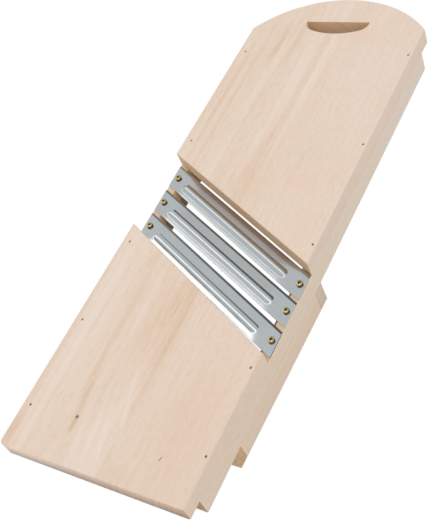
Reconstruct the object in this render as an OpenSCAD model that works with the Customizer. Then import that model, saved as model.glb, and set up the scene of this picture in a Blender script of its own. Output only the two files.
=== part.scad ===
// Cabbage shredder board: two beech boards on side rails, with three slanted
// blades between them and a low foot frame below. Millimetres, +Z up, +Y towards
// the rounded head. X = 0 is the centreline, Y = 0 is the middle of the length
// and Z = 0 is the lowest edge of the foot frame, at its upper end.

/* [Boards] */
// Overall length, from the lower end to the top of the head
board_l = 543; // [450:1:660]
// Width across the boards
board_w = 180; // [150:1:216]
// Thickness of both boards
board_t = 16; // [12:0.5:20]
// Radius of the rounded head
head_r = 117; // [115:0.5:160]
// Distance from the centreline to the middle of the head's arc, to the right
head_shift = 6; // [-6:0.5:6]
// Radius of the lower board's left corner
left_corner_r = 4; // [2:0.5:12]
// Radius of the lower board's right corner
right_corner_r = 2; // [2:0.5:12]
// Chamfer along the boards' upper edges
edge_ease = 0.6; // [0.2:0.1:1.5]
// Where the upper board's slanted edge crosses the centreline, from mid-length
bay_y = 0.3; // [-30:0.1:30]

/* [Grip slot] */
// Length of the slot's straight side
slot_l = 66; // [52:1:80]
// Width of the slot, from its straight side to the lowest point of its arc
slot_w = 16; // [14:0.1:20]
// Radius of the slot's rounded ends
slot_end_r = 12; // [8:0.5:13]
// Wood left between the slot's straight side and the top of the head
slot_rim = 33.5; // [25:0.5:45]
// Distance from the centreline to the middle of the slot, to the right
slot_shift = -1; // [-6:0.5:6]
// Turn of the slot, anticlockwise
slot_turn = 4; // [-6:0.5:6]

/* [Rails] */
// Width of a side rail
rail_w = 15; // [13:0.5:18]
// Height of a side rail
rail_h = 20; // [16:0.5:26]
// Width of the bevel along a rail's inner upper edge
rail_bevel_w = 6; // [2:0.5:7]
// Height of that bevel
rail_bevel_h = 7; // [2:0.5:9]
// Length of the lower board that runs past the rails
rail_low_setback = 15; // [5:0.5:30]
// Length of the head that runs past the rails
rail_head_setback = 51; // [40:0.5:70]

/* [Blades] */
// Slant of the upper board's edge at the blades, from a line square across the board
blade_angle = 27.1; // [18:0.1:32]
// Turn of each blade against that edge, anticlockwise, from the upper blade down
blade_turns = [0.1, 0.7, 0.5]; // [-0.7:0.1:0.7]
// Turn of the lower board's slanted edge against the upper board's, anticlockwise
heel_turn = -0.4; // [-0.4:0.1:0.4]
// Width of a blade, from its rear edge to its cutting edge
blade_w = 22.3; // [18:0.1:28]
// Thickness of the blade sheet
blade_t = 1; // [0.6:0.1:1.2]
// Slot between two blades, on the centreline
blade_gap = 3.4; // [3:0.1:6]
// Slot between the upper board and the first cutting edge, on the centreline
throat_gap = 1.7; // [1.5:0.1:5]
// Gap between the lower board and the last blade's rear edge, on the centreline
heel_gap = 2.3; // [2.3:0.1:5]
// Distance from a blade's ends in to the boards' sides
blade_setback = 0.5; // [0:0.1:2]
// Width of the ground bevel along the cutting edge
bevel_w = 2.2; // [1:0.1:4]
// Thickness left at the cutting edge
edge_t = 0.2; // [0.1:0.05:0.4]

/* [Stiffening bead] */
// Distance from the blade's rear edge to the middle of the bead
bead_inset = 8.7; // [6.5:0.1:9]
// Radius of the bead's round back
bead_r = 5.2; // [3.5:0.1:5.5]
// Height of the bead above the sheet
bead_h = 1.8; // [1:0.1:2.2]
// Radius where the bead runs out into the sheet
bead_fillet_r = 2.4; // [1:0.1:2.5]
// Flat sheet left of the bead, along the blade
bead_left_gap = 17.5; // [15:0.1:30]
// Flat sheet right of the bead, along the blade
bead_right_gap = 22.8; // [15:0.1:30]

/* [Foot frame] */
// Height of the foot frame at its upper end
foot_h = 23.5; // [20:0.5:28.5]
// Slope of the foot frame's underside, which rises towards the lower end
foot_taper = 2; // [0:0.1:2.5]
// Width of a foot strip
strip_w = 15; // [12:0.5:18]
// Length of the foot frame along the board
foot_l = 171; // [140:1:210]
// Distance from the board's lower end to the foot frame
foot_setback = 62; // [40:1:75]
// Thickness of the crossbar, along the board
cross_t = 10.5; // [9:0.5:16]
// Thickness of the end blocks, along the board
block_t = 12; // [10:0.5:16]
// Length of an end block, across the board
block_l = 24; // [18:0.5:24]

/* [Blade screws] */
// Distance from the boards' sides to the screws
screw_inset = 6; // [5.5:0.1:6.5]
// Diameter of a screw's shank
screw_d = 3; // [2.5:0.1:3.5]
// Length of a screw below its head
screw_l = 16; // [12:0.5:18]
// Diameter of a screw's head
screw_head_d = 5.8; // [5:0.1:7]
// Height of a screw's head
screw_head_h = 2.3; // [1.8:0.1:3]
// Length of the cross recess in the head
recess_l = 3.4; // [2.6:0.1:3.8]
// Width of the cross recess
recess_w = 1; // [0.6:0.1:1.2]
// Diameter of the round core where the recess's arms meet
recess_core_d = 2.2; // [1.8:0.1:2.4]
// Depth of the cross recess
recess_depth = 1.4; // [0.8:0.1:1.5]
// Clearance around the shank in the blade's hole
blade_hole_play = 0.2; // [0.1:0.05:0.5]

/* [Nails] */
// Diameter of a nail
nail_d = 1.4; // [1:0.1:1.6]
// Diameter of a nail's head
nail_head_d = 1.8; // [1.7:0.1:2]
// Height of a nail's head
nail_head_h = 0.9; // [0.6:0.1:1.5]
// Length of the nails that hold the boards
board_nail_l = 29; // [25:0.5:31]
// Length of the nails that hold the foot strips and end blocks
foot_nail_l = 33; // [30:0.5:34]
// Length of the nails that hold the crossbar
cross_nail_l = 28; // [25:0.5:31]
// Depth that the heads are punched below the wood
punch_depth = 0.7; // [0.4:0.1:1.5]
// Length of a punch mark, along the grain
punch_l = 2.8; // [2.2:0.1:4]
// Distance from the boards' left side to the left nails
left_nail_inset = 7.5; // [3:0.5:8]
// Distance from the boards' right side to the right nails
right_nail_inset = 3.5; // [3:0.5:8]
// Wood between a foot nail's axis and the inner side of rail and strip
foot_nail_cover = 4; // [3:0.1:5]
// Number of left nails in the upper board
upper_left_count = 2; // [2:1:4]
// Left nails of the upper board: gaps to the blade bay and to the rail's end
upper_left_gaps = [21.8, 33]; // [10:0.5:40]
// Number of right nails in the upper board
upper_right_count = 3; // [2:1:4]
// Right nails of the upper board: gaps to the blade bay and to the rail's end
upper_right_gaps = [18.2, 19.5]; // [10:0.5:40]
// Number of left nails in the lower board
lower_left_count = 3; // [2:1:4]
// Left nails of the lower board: gaps to the blade bay and to the rail's end
lower_left_gaps = [15.1, 24]; // [10:0.5:40]
// Number of right nails in the lower board
lower_right_count = 2; // [2:1:4]
// Right nails of the lower board: gaps to the blade bay and to the rail's end
lower_right_gaps = [17.3, 29]; // [10:0.5:30]
// Number of nails in each foot strip
strip_nail_count = 3; // [2:1:4]
// Gap from a strip's ends to its outer nails
strip_nail_gap = 22; // [15:0.5:30]
// Clearance around nails and screw shanks in the wood
wood_play = 0.05; // [0.02:0.01:0.1]

/* [Hidden] */
$fn = 64;

// Colours
board_colour = [0.90, 0.82, 0.75];
rail_colour = [0.84, 0.78, 0.72];
foot_colour = [0.82, 0.75, 0.66];
end_grain_colour = [0.72, 0.60, 0.50];
blade_colour = [0.68, 0.70, 0.71];
screw_colour = [0.76, 0.63, 0.33];
nail_colour = [0.42, 0.33, 0.26];

// Levels: underside of the rails, seat of boards and blades, top of the boards
LEFT = -1;
RIGHT = 1;
rail_z = foot_h;
seat_z = foot_h + rail_h;
top_z = seat_z + board_t;

// Ends along Y
low_y = -board_l / 2;
head_y = board_l / 2;
rail_low_y = low_y + rail_low_setback;
rail_head_y = head_y - rail_head_setback;
foot_low_y = low_y + foot_setback;
strip_low_y = foot_low_y + cross_t;
block_high_y = foot_low_y + foot_l;
strip_high_y = block_high_y - block_t;

// Blade bay, measured square to the blades from the upper board's slanted edge
blade_count = 3;
blade_pitch = blade_w + blade_gap;
bay_w = throat_gap + blade_count * blade_pitch - blade_gap + heel_gap;
bay_low_y = bay_y - bay_w / cos(blade_angle);

// Bead section: where the run-out begins on the sheet, and where it meets the round back
bead_axis_depth = bead_r - bead_h;
bead_half_w = hundredths(sqrt(pow(bead_r + bead_fillet_r, 2)
    - pow(bead_axis_depth + bead_fillet_r, 2)));
bead_turn = atan2(bead_half_w, bead_axis_depth + bead_fillet_r);
bead_steps = 6;
bead_flat = bead_turn / (2 * bead_steps);

// Slot outline: a flat arc that runs smoothly into a round at each end
slot_y = head_y - slot_rim;
slot_end_x = slot_l / 2 - slot_end_r;
slot_rise = slot_w - slot_end_r;
slot_arc_y = (pow(slot_end_x, 2) - pow(slot_rise, 2)) / (2 * slot_rise);
slot_arc_r = slot_w + slot_arc_y;
slot_join_x = slot_end_x * slot_arc_r / (slot_arc_r - slot_end_r);

// Cuts run past the faces that they open by this much
over = 1;
// Larger than any piece, for shapes that are trimmed by their neighbours
reach = 2 * board_l;

// Level of the foot frame's sloping underside
function foot_under(y) = (block_high_y - y) * tan(foot_taper);
function slant_y(y, x) = y - x * tan(blade_angle);
function hundredths(x) = round(100 * x) / 100;
function reversed(list) = [for (i = [len(list) - 1 : -1 : 0]) list[i]];
function arc(centre, r, start, stop, first) = [for (i = [first : bead_steps])
    let (angle = start + (stop - start) * i / bead_steps) centre + r * [cos(angle), sin(angle)]];

// One face of the bead's sheet, from the narrow flat on its crest down to the sheet
function bead_line(back_r, run_out_r) =
    let (back = arc([0, -bead_axis_depth], back_r, 90 - bead_flat, 90 - bead_turn, 0))
    concat([[0, back[0].y]], back,
        arc([bead_half_w, bead_fillet_r], run_out_r, 270 - bead_turn, 270, 1));
function even_row(x, from_y, to_y, count) =
    [for (i = [0 : count - 1]) [x, from_y + (to_y - from_y) * i / (count - 1)]];

left_nail_x = -board_w / 2 + left_nail_inset;
right_nail_x = board_w / 2 - right_nail_inset;
foot_nail_x = board_w / 2 - min(rail_w, strip_w) + foot_nail_cover;
screw_x = board_w / 2 - screw_inset;

upper_left_row = even_row(left_nail_x, slant_y(bay_y, left_nail_x) + upper_left_gaps[0],
    rail_head_y - upper_left_gaps[1], upper_left_count);
upper_right_row = even_row(right_nail_x, slant_y(bay_y, right_nail_x) + upper_right_gaps[0],
    rail_head_y - upper_right_gaps[1], upper_right_count);
lower_left_row = even_row(left_nail_x, slant_y(bay_low_y, left_nail_x) - lower_left_gaps[0],
    rail_low_y + lower_left_gaps[1], lower_left_count);
lower_right_row = even_row(right_nail_x, slant_y(bay_low_y, right_nail_x) - lower_right_gaps[0],
    rail_low_y + lower_right_gaps[1], lower_right_count);

function strip_row(side) = even_row(side * foot_nail_x, strip_low_y + strip_nail_gap,
    strip_high_y - strip_nail_gap, strip_nail_count);
function cross_row(side) = [[side * foot_nail_x, foot_low_y + cross_t / 2]];
function block_row(side) = [[side * foot_nail_x, block_high_y - block_t / 2]];

// Section in (Y, Z) drawn along X, from -half to half
module along_x(half) {
    translate([-half, 0, 0]) rotate([90, 0, 90]) linear_extrude(2 * half) children();
}

// Local frame on the centreline, a distance below the upper board's edge, with X along the slant
module in_bay(down, turn) {
    translate([0, bay_y - down / cos(blade_angle), seat_z]) rotate([0, 0, turn - blade_angle]) children();
}

// Local frame of a blade: X along it, and Y = 0 at its cutting edge
function cut_down(index) = throat_gap + index * blade_pitch;
module in_blade(index) {
    in_bay(cut_down(index), blade_turns[index]) children();
}

// Board section whose edge lies at 0, with the wood on the plus side
module eased_edge() {
    polygon([[0, 0], [reach, 0], [reach, board_t], [edge_ease, board_t], [0, board_t - edge_ease]]);
}

// Round board corner or end with the same chamfer
module eased_disc(r) {
    rotate_extrude() polygon([[0, 0], [r, 0], [r, board_t - edge_ease], [r - edge_ease, board_t],
        [0, board_t]]);
}

// Both long sides of a board
module board_sides() {
    translate([0, reach / 2, seat_z]) rotate([90, 0, 0]) linear_extrude(reach) intersection() {
        translate([-board_w / 2, 0]) eased_edge();
        translate([board_w / 2, 0]) mirror([1, 0]) eased_edge();
    }
}

// Everything except the square at one lower corner, which holds a round corner instead
module lower_corner(side, r) {
    corner_x = side * (board_w / 2 - r);
    translate([side > 0 ? corner_x - reach : corner_x, low_y - over, seat_z])
        cube([reach, reach, board_t]);
    translate([-reach / 2, low_y + r, seat_z]) cube([reach, reach, board_t]);
    translate([corner_x, low_y + r, seat_z]) eased_disc(r);
}

module grip_slot() {
    translate([slot_shift, slot_y, seat_z - over]) rotate([0, 0, slot_turn])
        linear_extrude(board_t + 2 * over) intersection() {
            translate([-slot_l / 2, -slot_w]) square([slot_l, slot_w]);
            union() {
                for (end = [-1, 1]) translate([end * slot_end_x, 0]) circle(slot_end_r);
                intersection() {
                    translate([0, slot_arc_y]) circle(slot_arc_r);
                    translate([-slot_join_x, -slot_w]) square([2 * slot_join_x, slot_w]);
                }
            }
        }
}

// Nail with its head at Z = 0 and its point downwards
module nail(l) {
    r = nail_d / 2;
    cap_r = nail_head_d / 2;
    point_l = 2 * nail_d;
    rotate_extrude() polygon([[0, 0], [cap_r, 0], [cap_r, -nail_head_h], [r, -nail_head_h],
        [r, point_l - l], [0, -l]]);
}

// Hole for a nail whose head lies a punch depth below Z = 0
module nail_hole(l) {
    mark_w = nail_head_d + 2 * wood_play;
    translate([0, 0, -punch_depth - l - over]) cylinder(d = nail_d + 2 * wood_play, h = l + over);
    translate([0, 0, -punch_depth - nail_head_h]) cylinder(d = mark_w, h = nail_head_h + over);
    translate([0, 0, -punch_depth]) linear_extrude(punch_depth + over) {
        for (end = [-1, 1]) translate([0, end * (punch_l - mark_w) / 2]) circle(d = mark_w);
        square([mark_w, punch_l - mark_w], center = true);
    }
}

// Nails driven down through a board, and nails driven up through the foot frame
module from_top(row) {
    for (p = row) translate([p.x, p.y, top_z]) children();
}
module from_below(row) {
    for (p = row) translate([p.x, p.y, foot_under(p.y)]) rotate([180, 0, 0]) children();
}
module driven() {
    translate([0, 0, -punch_depth]) children();
}

module upper_board() color(board_colour) difference() {
    intersection() {
        board_sides();
        in_bay(0, 0) along_x(reach) eased_edge();
        union() {
            translate([head_shift, head_y - head_r, seat_z]) eased_disc(head_r);
            translate([-reach / 2, head_y - head_r - reach, seat_z]) cube([reach, reach, board_t]);
        }
    }
    grip_slot();
    from_top(upper_left_row) nail_hole(board_nail_l);
    from_top(upper_right_row) nail_hole(board_nail_l);
}

module lower_board() color(board_colour) difference() {
    intersection() {
        board_sides();
        in_bay(bay_w, heel_turn) along_x(reach) mirror([1, 0]) eased_edge();
        translate([0, low_y, seat_z]) along_x(reach) eased_edge();
        lower_corner(LEFT, left_corner_r);
        lower_corner(RIGHT, right_corner_r);
    }
    from_top(lower_left_row) nail_hole(board_nail_l);
    from_top(lower_right_row) nail_hole(board_nail_l);
}

// Middle of a blade's screw hole, on the blade's own middle line
function screw_place(index, side) =
    let (slant = blade_angle - blade_turns[index],
        middle_y = bay_y - cut_down(index) / cos(blade_angle) - blade_w / 2 / cos(slant))
    [side * screw_x, middle_y - side * screw_x * tan(slant), seat_z];

// Section of a rail in (X, Z), from its outer side inwards
module rail_section() {
    polygon([[0, 0], [rail_w, 0], [rail_w, rail_h - rail_bevel_h], [rail_w - rail_bevel_w, rail_h],
        [0, rail_h]]);
}

module rail(side, board_rows) color(rail_colour) difference() {
    translate([side * board_w / 2, rail_head_y, rail_z]) rotate([90, 0, 0])
        linear_extrude(rail_head_y - rail_low_y) mirror([side > 0 ? 1 : 0, 0]) rail_section();
    for (index = [0 : blade_count - 1]) translate(screw_place(index, side))
        translate([0, 0, -screw_l]) cylinder(d = screw_d + 2 * wood_play, h = screw_l + over);
    for (row = board_rows) from_top(row) nail_hole(board_nail_l);
    from_below(strip_row(side)) nail_hole(foot_nail_l);
    from_below(block_row(side)) nail_hole(foot_nail_l);
    from_below(cross_row(side)) nail_hole(cross_nail_l);
}
module left_rail() rail(LEFT, [upper_left_row, lower_left_row]);
module right_rail() rail(RIGHT, [upper_right_row, lower_right_row]);

// Stretch of the foot frame in (Y, Z), between its sloping underside and the rails
module foot_side(from_y, to_y) {
    polygon([[from_y, foot_under(from_y)], [to_y, foot_under(to_y)], [to_y, foot_h], [from_y, foot_h]]);
}

module foot_strip(side) color(foot_colour) difference() {
    translate([side * (board_w - strip_w) / 2, 0, 0])
        along_x(strip_w / 2) foot_side(strip_low_y, strip_high_y);
    from_below(strip_row(side)) nail_hole(foot_nail_l);
}
module left_foot_strip() foot_strip(LEFT);
module right_foot_strip() foot_strip(RIGHT);

module foot_crossbar() color(end_grain_colour) difference() {
    along_x(board_w / 2) foot_side(foot_low_y, strip_low_y);
    for (side = [LEFT, RIGHT]) from_below(cross_row(side)) nail_hole(cross_nail_l);
}

module end_block(side) color(foot_colour) difference() {
    translate([side * (board_w - block_l) / 2, 0, 0])
        along_x(block_l / 2) foot_side(strip_high_y, block_high_y);
    from_below(block_row(side)) nail_hole(foot_nail_l);
}
module left_end_block() end_block(LEFT);
module right_end_block() end_block(RIGHT);

// Half of the pressed bead's sheet: round back, then run-out. The sheet's top is at 0
module bead_half() {
    polygon(concat(bead_line(bead_r, bead_fillet_r),
        reversed(bead_line(bead_r - blade_t, bead_fillet_r + blade_t))));
}

// Blade with its upper face at Z = blade_t, numbered from the upper board
module blade(index) color(blade_colour) {
    slant = blade_angle - blade_turns[index];
    half_l = (board_w / 2 - blade_setback) / cos(slant);
    bead_v = bead_inset - blade_w;
    bead_skew = -bead_v * tan(slant);
    bead_from = hundredths(bead_skew - half_l + bead_left_gap + bead_half_w);
    bead_to = hundredths(bead_skew + half_l - bead_right_gap - bead_half_w);
    difference() {
        intersection() {
            in_blade(index) along_x(reach) polygon([[-blade_w, 0], [0, 0], [0, edge_t],
                [-bevel_w, blade_t], [-blade_w, blade_t]]);
            translate([-board_w / 2 + blade_setback, -reach / 2, seat_z])
                cube([board_w - 2 * blade_setback, reach, blade_t]);
        }
        in_blade(index) translate([0, bead_v, -over]) linear_extrude(blade_t + 2 * over) {
            translate([bead_from, -bead_half_w]) square([bead_to - bead_from, 2 * bead_half_w]);
            for (u = [bead_from, bead_to]) translate([u, 0]) circle(bead_half_w);
        }
        for (side = [LEFT, RIGHT]) translate(screw_place(index, side)) translate([0, 0, -over])
            cylinder(d = screw_d + 2 * blade_hole_play, h = blade_t + 2 * over);
    }
    in_blade(index) translate([0, bead_v, blade_t]) {
        translate([bead_from, 0, 0]) rotate([90, 0, 90]) linear_extrude(bead_to - bead_from) {
            bead_half();
            mirror([1, 0]) bead_half();
        }
        translate([bead_from, 0, 0]) rotate([0, 0, 90]) rotate_extrude(angle = 180) bead_half();
        translate([bead_to, 0, 0]) rotate([0, 0, -90]) rotate_extrude(angle = 180) bead_half();
    }
}
module upper_blade() blade(0);
module middle_blade() blade(1);
module lower_blade() blade(2);

// Pan head with a cross recess on a pointed shank, seated on the blade
module blade_screw(index, side) color(screw_colour) {
    dome_r = 1.5 * screw_head_d;
    point_l = 1.5 * screw_d;
    translate(screw_place(index, side)) translate([0, 0, blade_t]) {
        difference() {
            intersection() {
                cylinder(d = screw_head_d, h = screw_head_h);
                translate([0, 0, screw_head_h - dome_r]) sphere(dome_r);
            }
            translate([0, 0, screw_head_h - recess_depth]) linear_extrude(recess_depth + over) {
                circle(d = recess_core_d);
                square([recess_l, recess_w], center = true);
                square([recess_w, recess_l], center = true);
            }
        }
        translate([0, 0, point_l - screw_l]) cylinder(d = screw_d, h = screw_l - point_l);
        translate([0, 0, -screw_l]) cylinder(d1 = screw_d / 6, d2 = screw_d, h = point_l);
    }
}
module upper_blade_left_screw() blade_screw(0, LEFT);
module upper_blade_right_screw() blade_screw(0, RIGHT);
module middle_blade_left_screw() blade_screw(1, LEFT);
module middle_blade_right_screw() blade_screw(1, RIGHT);
module lower_blade_left_screw() blade_screw(2, LEFT);
module lower_blade_right_screw() blade_screw(2, RIGHT);

module upper_board_left_nails() color(nail_colour) from_top(upper_left_row) driven() nail(board_nail_l);
module upper_board_right_nails() color(nail_colour) from_top(upper_right_row) driven() nail(board_nail_l);
module lower_board_left_nails() color(nail_colour) from_top(lower_left_row) driven() nail(board_nail_l);
module lower_board_right_nails() color(nail_colour) from_top(lower_right_row) driven() nail(board_nail_l);
module left_strip_nails() color(nail_colour) from_below(strip_row(LEFT)) driven() nail(foot_nail_l);
module right_strip_nails() color(nail_colour) from_below(strip_row(RIGHT)) driven() nail(foot_nail_l);
module crossbar_nails() color(nail_colour) for (side = [LEFT, RIGHT])
    from_below(cross_row(side)) driven() nail(cross_nail_l);
module end_block_nails() color(nail_colour) for (side = [LEFT, RIGHT])
    from_below(block_row(side)) driven() nail(foot_nail_l);

upper_board();
lower_board();
left_rail();
right_rail();
left_foot_strip();
right_foot_strip();
foot_crossbar();
left_end_block();
right_end_block();
upper_blade();
middle_blade();
lower_blade();
upper_blade_left_screw();
upper_blade_right_screw();
middle_blade_left_screw();
middle_blade_right_screw();
lower_blade_left_screw();
lower_blade_right_screw();
upper_board_left_nails();
upper_board_right_nails();
lower_board_left_nails();
lower_board_right_nails();
left_strip_nails();
right_strip_nails();
crossbar_nails();
end_block_nails();
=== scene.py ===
# %% [markdown]
# # Cabbage shredder board
#
# A long hand shredder of pale beech. Two planed boards lie end to end on side rails, three
# pressed steel blades slant across the bay between them, and a low foot frame carries it all. The
# solids come ready made as a fixed frame, so this lesson is about finish: soft wood edges, a
# believable beech, bright sheet steel, yellow zinc screws, and a studio like that of a catalogue
# picture.

import math

import bmesh
import bpy
from mathutils import Matrix, Quaternion, Vector


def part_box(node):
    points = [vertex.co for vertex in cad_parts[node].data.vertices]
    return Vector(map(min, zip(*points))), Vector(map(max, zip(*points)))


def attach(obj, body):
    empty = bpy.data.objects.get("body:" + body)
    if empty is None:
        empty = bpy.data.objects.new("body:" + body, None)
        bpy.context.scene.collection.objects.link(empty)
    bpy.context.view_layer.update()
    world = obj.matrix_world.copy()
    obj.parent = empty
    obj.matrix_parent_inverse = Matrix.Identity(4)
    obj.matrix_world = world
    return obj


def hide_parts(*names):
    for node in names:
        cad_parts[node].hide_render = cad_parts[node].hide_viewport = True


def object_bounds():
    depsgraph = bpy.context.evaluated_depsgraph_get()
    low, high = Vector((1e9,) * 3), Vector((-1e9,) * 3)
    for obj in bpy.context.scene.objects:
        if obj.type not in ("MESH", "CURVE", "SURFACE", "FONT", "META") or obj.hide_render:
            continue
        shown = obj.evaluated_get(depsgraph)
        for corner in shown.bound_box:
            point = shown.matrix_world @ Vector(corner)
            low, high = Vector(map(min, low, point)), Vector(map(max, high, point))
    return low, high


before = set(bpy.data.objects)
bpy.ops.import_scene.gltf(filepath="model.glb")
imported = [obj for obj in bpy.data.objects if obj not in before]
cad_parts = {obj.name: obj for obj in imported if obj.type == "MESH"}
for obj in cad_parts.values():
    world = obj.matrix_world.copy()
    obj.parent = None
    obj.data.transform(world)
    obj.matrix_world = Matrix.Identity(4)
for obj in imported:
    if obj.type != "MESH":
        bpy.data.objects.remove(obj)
cad_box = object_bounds()
MM = 0.001
print("nodes", len(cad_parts))
print("box in mm", [[round(v / MM, 1) for v in corner] for corner in cad_box])

# %% [markdown]
# ## Reading sizes from the frame
#
# What a finish has to follow is read from the boxes of the solids, and only single marks in the
# wood have places of their own. The blades slant, each a little differently, and the two screws
# of a blade lie on its middle line. So they give the blade's own frame: a centre and an angle.

# %% Sizes that the finishes need
BLADES = ("upper_blade", "middle_blade", "lower_blade")
board_low, board_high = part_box("upper_board")
TOP_Z = board_high.z


def middle(node):
    low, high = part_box(node)
    return (low + high) / 2


def blade_frame(node):
    """Centre of a blade between its screws, and its slant down to the right."""
    left, right = middle(f"{node}_left_screw"), middle(f"{node}_right_screw")
    run = right - left
    return (left + right) / 2, math.atan2(-run.y, run.x)


for node in BLADES:
    centre, slant = blade_frame(node)
    print(node, "slant in degrees", round(math.degrees(slant), 2), "centre in mm",
          [round(v / MM, 1) for v in centre])

# %% [markdown]
# ## Connected copies of the sticks
#
# A planed stick never has a knife edge: sandpaper breaks it to a small round that catches the
# light. The frame's sticks are sharp. A Bevel modifier would need a connected mesh, and the
# frame's faces are loose. So each stick is copied, its points are merged, and the eased copy
# stands for the node. It is shaded smooth between sharp edges, and weighted normals keep its flat
# faces flat.

# %% Copies that stand for a node
MERGE = 0.002 * MM
SMOOTH_ANGLE = math.radians(50)


def merged_copy(node):
    """A connected copy of a node's mesh, as a bmesh."""
    form = bmesh.new()
    form.from_mesh(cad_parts[node].data)
    bmesh.ops.remove_doubles(form, verts=form.verts, dist=MERGE)
    return form


def finish_piece(form, name, node):
    """Write the bmesh to a new piece, and let it stand for the node."""
    mesh = bpy.data.meshes.new(name)
    form.to_mesh(mesh)
    form.free()
    mesh.shade_smooth()
    mesh.set_sharp_from_angle(angle=SMOOTH_ANGLE)
    piece = bpy.data.objects.new(name, mesh)
    bpy.context.scene.collection.objects.link(piece)
    weighted = piece.modifiers.new("flat faces stay flat", "WEIGHTED_NORMAL")
    weighted.keep_sharp = True
    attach(piece, "root")
    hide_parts(node)
    return piece


print("points closer than", MERGE / MM, "mm are merged")

# %% [markdown]
# ## Soft edges
#
# Flat triangles are joined to whole faces, and then the outward edges are bevelled. The rims of
# nail holes are left alone. They are the only short edges, apart from the small corners of the
# boards, which lie right at the outline. The boards have a small chamfer already, so less is
# taken off theirs. The arc of the grip slot is where the fingers bear, so its upper rim is
# rounded over first. Its straight side is one long edge and stays crisp.

# %% Ease the edges
EDGE_ANGLE = math.radians(25)
FLAT_ANGLE = math.radians(0.5)
RIM_EDGE = 1.2 * MM
SIDE_STRIP = 1 * MM
END_STRIP = 5 * MM
BOARD_EASE, BOARD_SEGMENTS = 0.25 * MM, 2
STICK_EASE, STICK_SEGMENTS = 0.5 * MM, 3
SLOT_ROUND, SLOT_SEGMENTS = 0.9 * MM, 5
SLOT_STEP = 12 * MM
SLOT_BELOW_HEAD = (60 * MM, 22 * MM)
SLOT_X = board_high.x / 2
SLOT_Y = tuple(board_high.y - below for below in SLOT_BELOW_HEAD)
BOARDS = ("upper_board", "lower_board")
STICKS = ("left_rail", "right_rail", "left_foot_strip", "right_foot_strip", "foot_crossbar",
          "left_end_block", "right_end_block")


def round_over(form, edges, size, segments):
    bmesh.ops.bevel(form, geom=edges, offset=size, offset_type="OFFSET", affect="EDGES",
                    segments=segments, profile=0.5, material=-1, clamp_overlap=False)


def at_outline(point):
    """True near a long side of the boards, or near their square end."""
    return abs(point.x) > board_high.x - SIDE_STRIP or point.y < cad_box[0][1] + END_STRIP


def outward_edges(form):
    """Sharp edges that stick out, apart from the rims of nail holes."""
    return [e for e in form.edges if len(e.link_faces) == 2 and e.is_convex
            and e.calc_face_angle() > EDGE_ANGLE
            and (e.calc_length() > RIM_EDGE or all(at_outline(v.co) for v in e.verts))]


def in_grip_slot(edge):
    return all(abs(v.co.x) < SLOT_X and SLOT_Y[0] < v.co.y < SLOT_Y[1] for v in edge.verts)


def on_slot_arc(edge):
    """True for an edge of the grip slot's arc on the board's upper face."""
    return (in_grip_slot(edge) and edge.calc_length() < SLOT_STEP
            and all(abs(v.co.z - TOP_Z) < MERGE for v in edge.verts))


def eased_stick(node, ease, segments):
    """Copy of a wooden node whose outward edges are rounded by the ease."""
    form = merged_copy(node)
    bmesh.ops.dissolve_limit(form, angle_limit=FLAT_ANGLE, verts=form.verts, edges=form.edges)
    sharp_volume = form.calc_volume()
    arc = [e for e in outward_edges(form) if on_slot_arc(e)]
    round_over(form, arc, SLOT_ROUND, SLOT_SEGMENTS)
    rest = [e for e in outward_edges(form) if not in_grip_slot(e)]
    round_over(form, rest, ease, segments)
    taken_off = (sharp_volume - form.calc_volume()) / MM ** 3
    print(node, "easing takes off", round(taken_off, 1), "cubic mm")
    return finish_piece(form, f"{node}_eased", node)


boards = {n: eased_stick(n, BOARD_EASE, BOARD_SEGMENTS) for n in BOARDS}
sticks = {n: eased_stick(n, STICK_EASE, STICK_SEGMENTS) for n in STICKS}
for piece in (*boards.values(), *sticks.values()):
    print(piece.name, len(piece.data.polygons), "faces")

# %% [markdown]
# ## Short words for wiring
#
# Shader nodes are wired in code by making a node, setting what is constant and linking what
# varies. Small helpers keep the recipes readable: each adds a node or two and hands back the
# output. The first ones work with numbers and vectors.

# %% Helpers: numbers and vectors
def put(tree, value, socket):
    """Link a socket, or set a constant."""
    if isinstance(value, bpy.types.NodeSocket):
        tree.links.new(value, socket)
    else:
        socket.default_value = value


def calc(tree, operation, a, b=None, clamp=False):
    step = tree.nodes.new("ShaderNodeMath")
    step.operation = operation
    step.use_clamp = clamp
    put(tree, a, step.inputs[0])
    if b is not None:
        put(tree, b, step.inputs[1])
    return step.outputs[0]


def squares(tree, a, b):
    """Sum of two squares."""
    return calc(tree, "ADD", calc(tree, "MULTIPLY", a, a), calc(tree, "MULTIPLY", b, b))


def bell(tree, squared):
    """One where the squared distance is nothing, and softly less around."""
    return calc(tree, "EXPONENT", calc(tree, "MULTIPLY", squared, -1.0))


def vector_calc(tree, operation, a, b):
    step = tree.nodes.new("ShaderNodeVectorMath")
    step.operation = operation
    put(tree, a, step.inputs[0])
    put(tree, b, step.inputs["Scale" if operation == "SCALE" else 1])
    return step.outputs["Value" if operation == "DOT_PRODUCT" else "Vector"]


def stretch(tree, vector, scale):
    return vector_calc(tree, "MULTIPLY", vector, scale)


def shift(tree, vector, by):
    return vector_calc(tree, "ADD", vector, by)


def parts(tree, vector):
    step = tree.nodes.new("ShaderNodeSeparateXYZ")
    put(tree, vector, step.inputs[0])
    return step.outputs


def join(tree, x, y, z):
    step = tree.nodes.new("ShaderNodeCombineXYZ")
    for value, socket in zip((x, y, z), step.inputs):
        put(tree, value, socket)
    return step.outputs[0]


# %% [markdown]
# ## Noise, masks and colours
#
# Three kinds of node do most of the painting. Noise brings chance, with values about a half. A
# smooth step makes a mask of any value. A mix lays one colour over another where the mask says
# so.

# %% Helpers: noise, masks and colours
NOISE_MIDDLE = 0.5
MIX_FACTOR, MIX_A, MIX_B, MIX_OUT = 0, 6, 7, 2


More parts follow.
